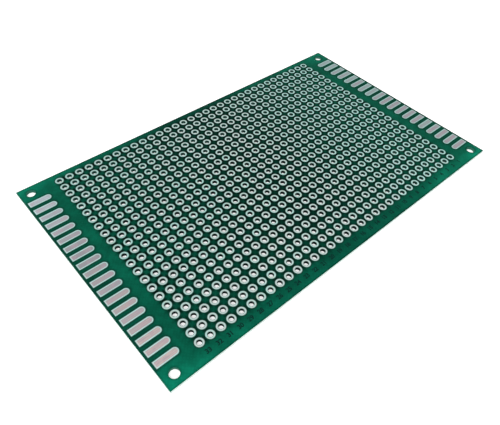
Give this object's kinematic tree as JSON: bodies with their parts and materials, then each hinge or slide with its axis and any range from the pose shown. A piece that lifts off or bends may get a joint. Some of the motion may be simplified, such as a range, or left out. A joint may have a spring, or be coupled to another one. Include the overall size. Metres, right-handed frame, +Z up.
{
  "type": "prototype board",
  "caption": "Flat green double-sided circuit board for hand-built circuits, with a grid of tinned through holes, solder fingers along both short ends and a plain hole in each corner.",
  "frame": {"origin": "Middle of the underside, on the surface that the board lies on.", "axes": "X runs along the long side, Z points up through the numbered face, and -Y is the long side with the clear strip for the column numbers."},
  "size_m": [0.1, 0.06, 0.0008],
  "materials": {
    "substrate": "cut glass-epoxy",
    "solder_mask": "semi-gloss film",
    "tin": "levelled tin",
    "tin_fingers": "levelled tin"
  },
  "bodies": {
    "root": {"sheet": "substrate", "solder_mask_top": "solder_mask", "solder_mask_bottom": "solder_mask", "plated_holes_row_01": "tin", "plated_holes_row_02": "tin", "plated_holes_row_03": "tin", "plated_holes_row_04": "tin", "plated_holes_row_05": "tin", "plated_holes_row_06": "tin", "plated_holes_row_07": "tin", "plated_holes_row_08": "tin", "plated_holes_row_09": "tin", "plated_holes_row_10": "tin", "plated_holes_row_11": "tin", "plated_holes_row_12": "tin", "plated_holes_row_13": "tin", "plated_holes_row_14": "tin", "plated_holes_row_15": "tin", "plated_holes_row_16": "tin", "plated_holes_row_17": "tin", "plated_holes_row_18": "tin", "plated_holes_row_19": "tin", "plated_holes_row_20": "tin", "plated_holes_row_21": "tin", "plated_holes_row_22": "tin", "edge_fingers_left_top": "tin_fingers", "edge_fingers_right_top": "tin_fingers", "edge_fingers_left_bottom": "tin_fingers", "edge_fingers_right_bottom": "tin_fingers"}
  },
  "joints": []
}
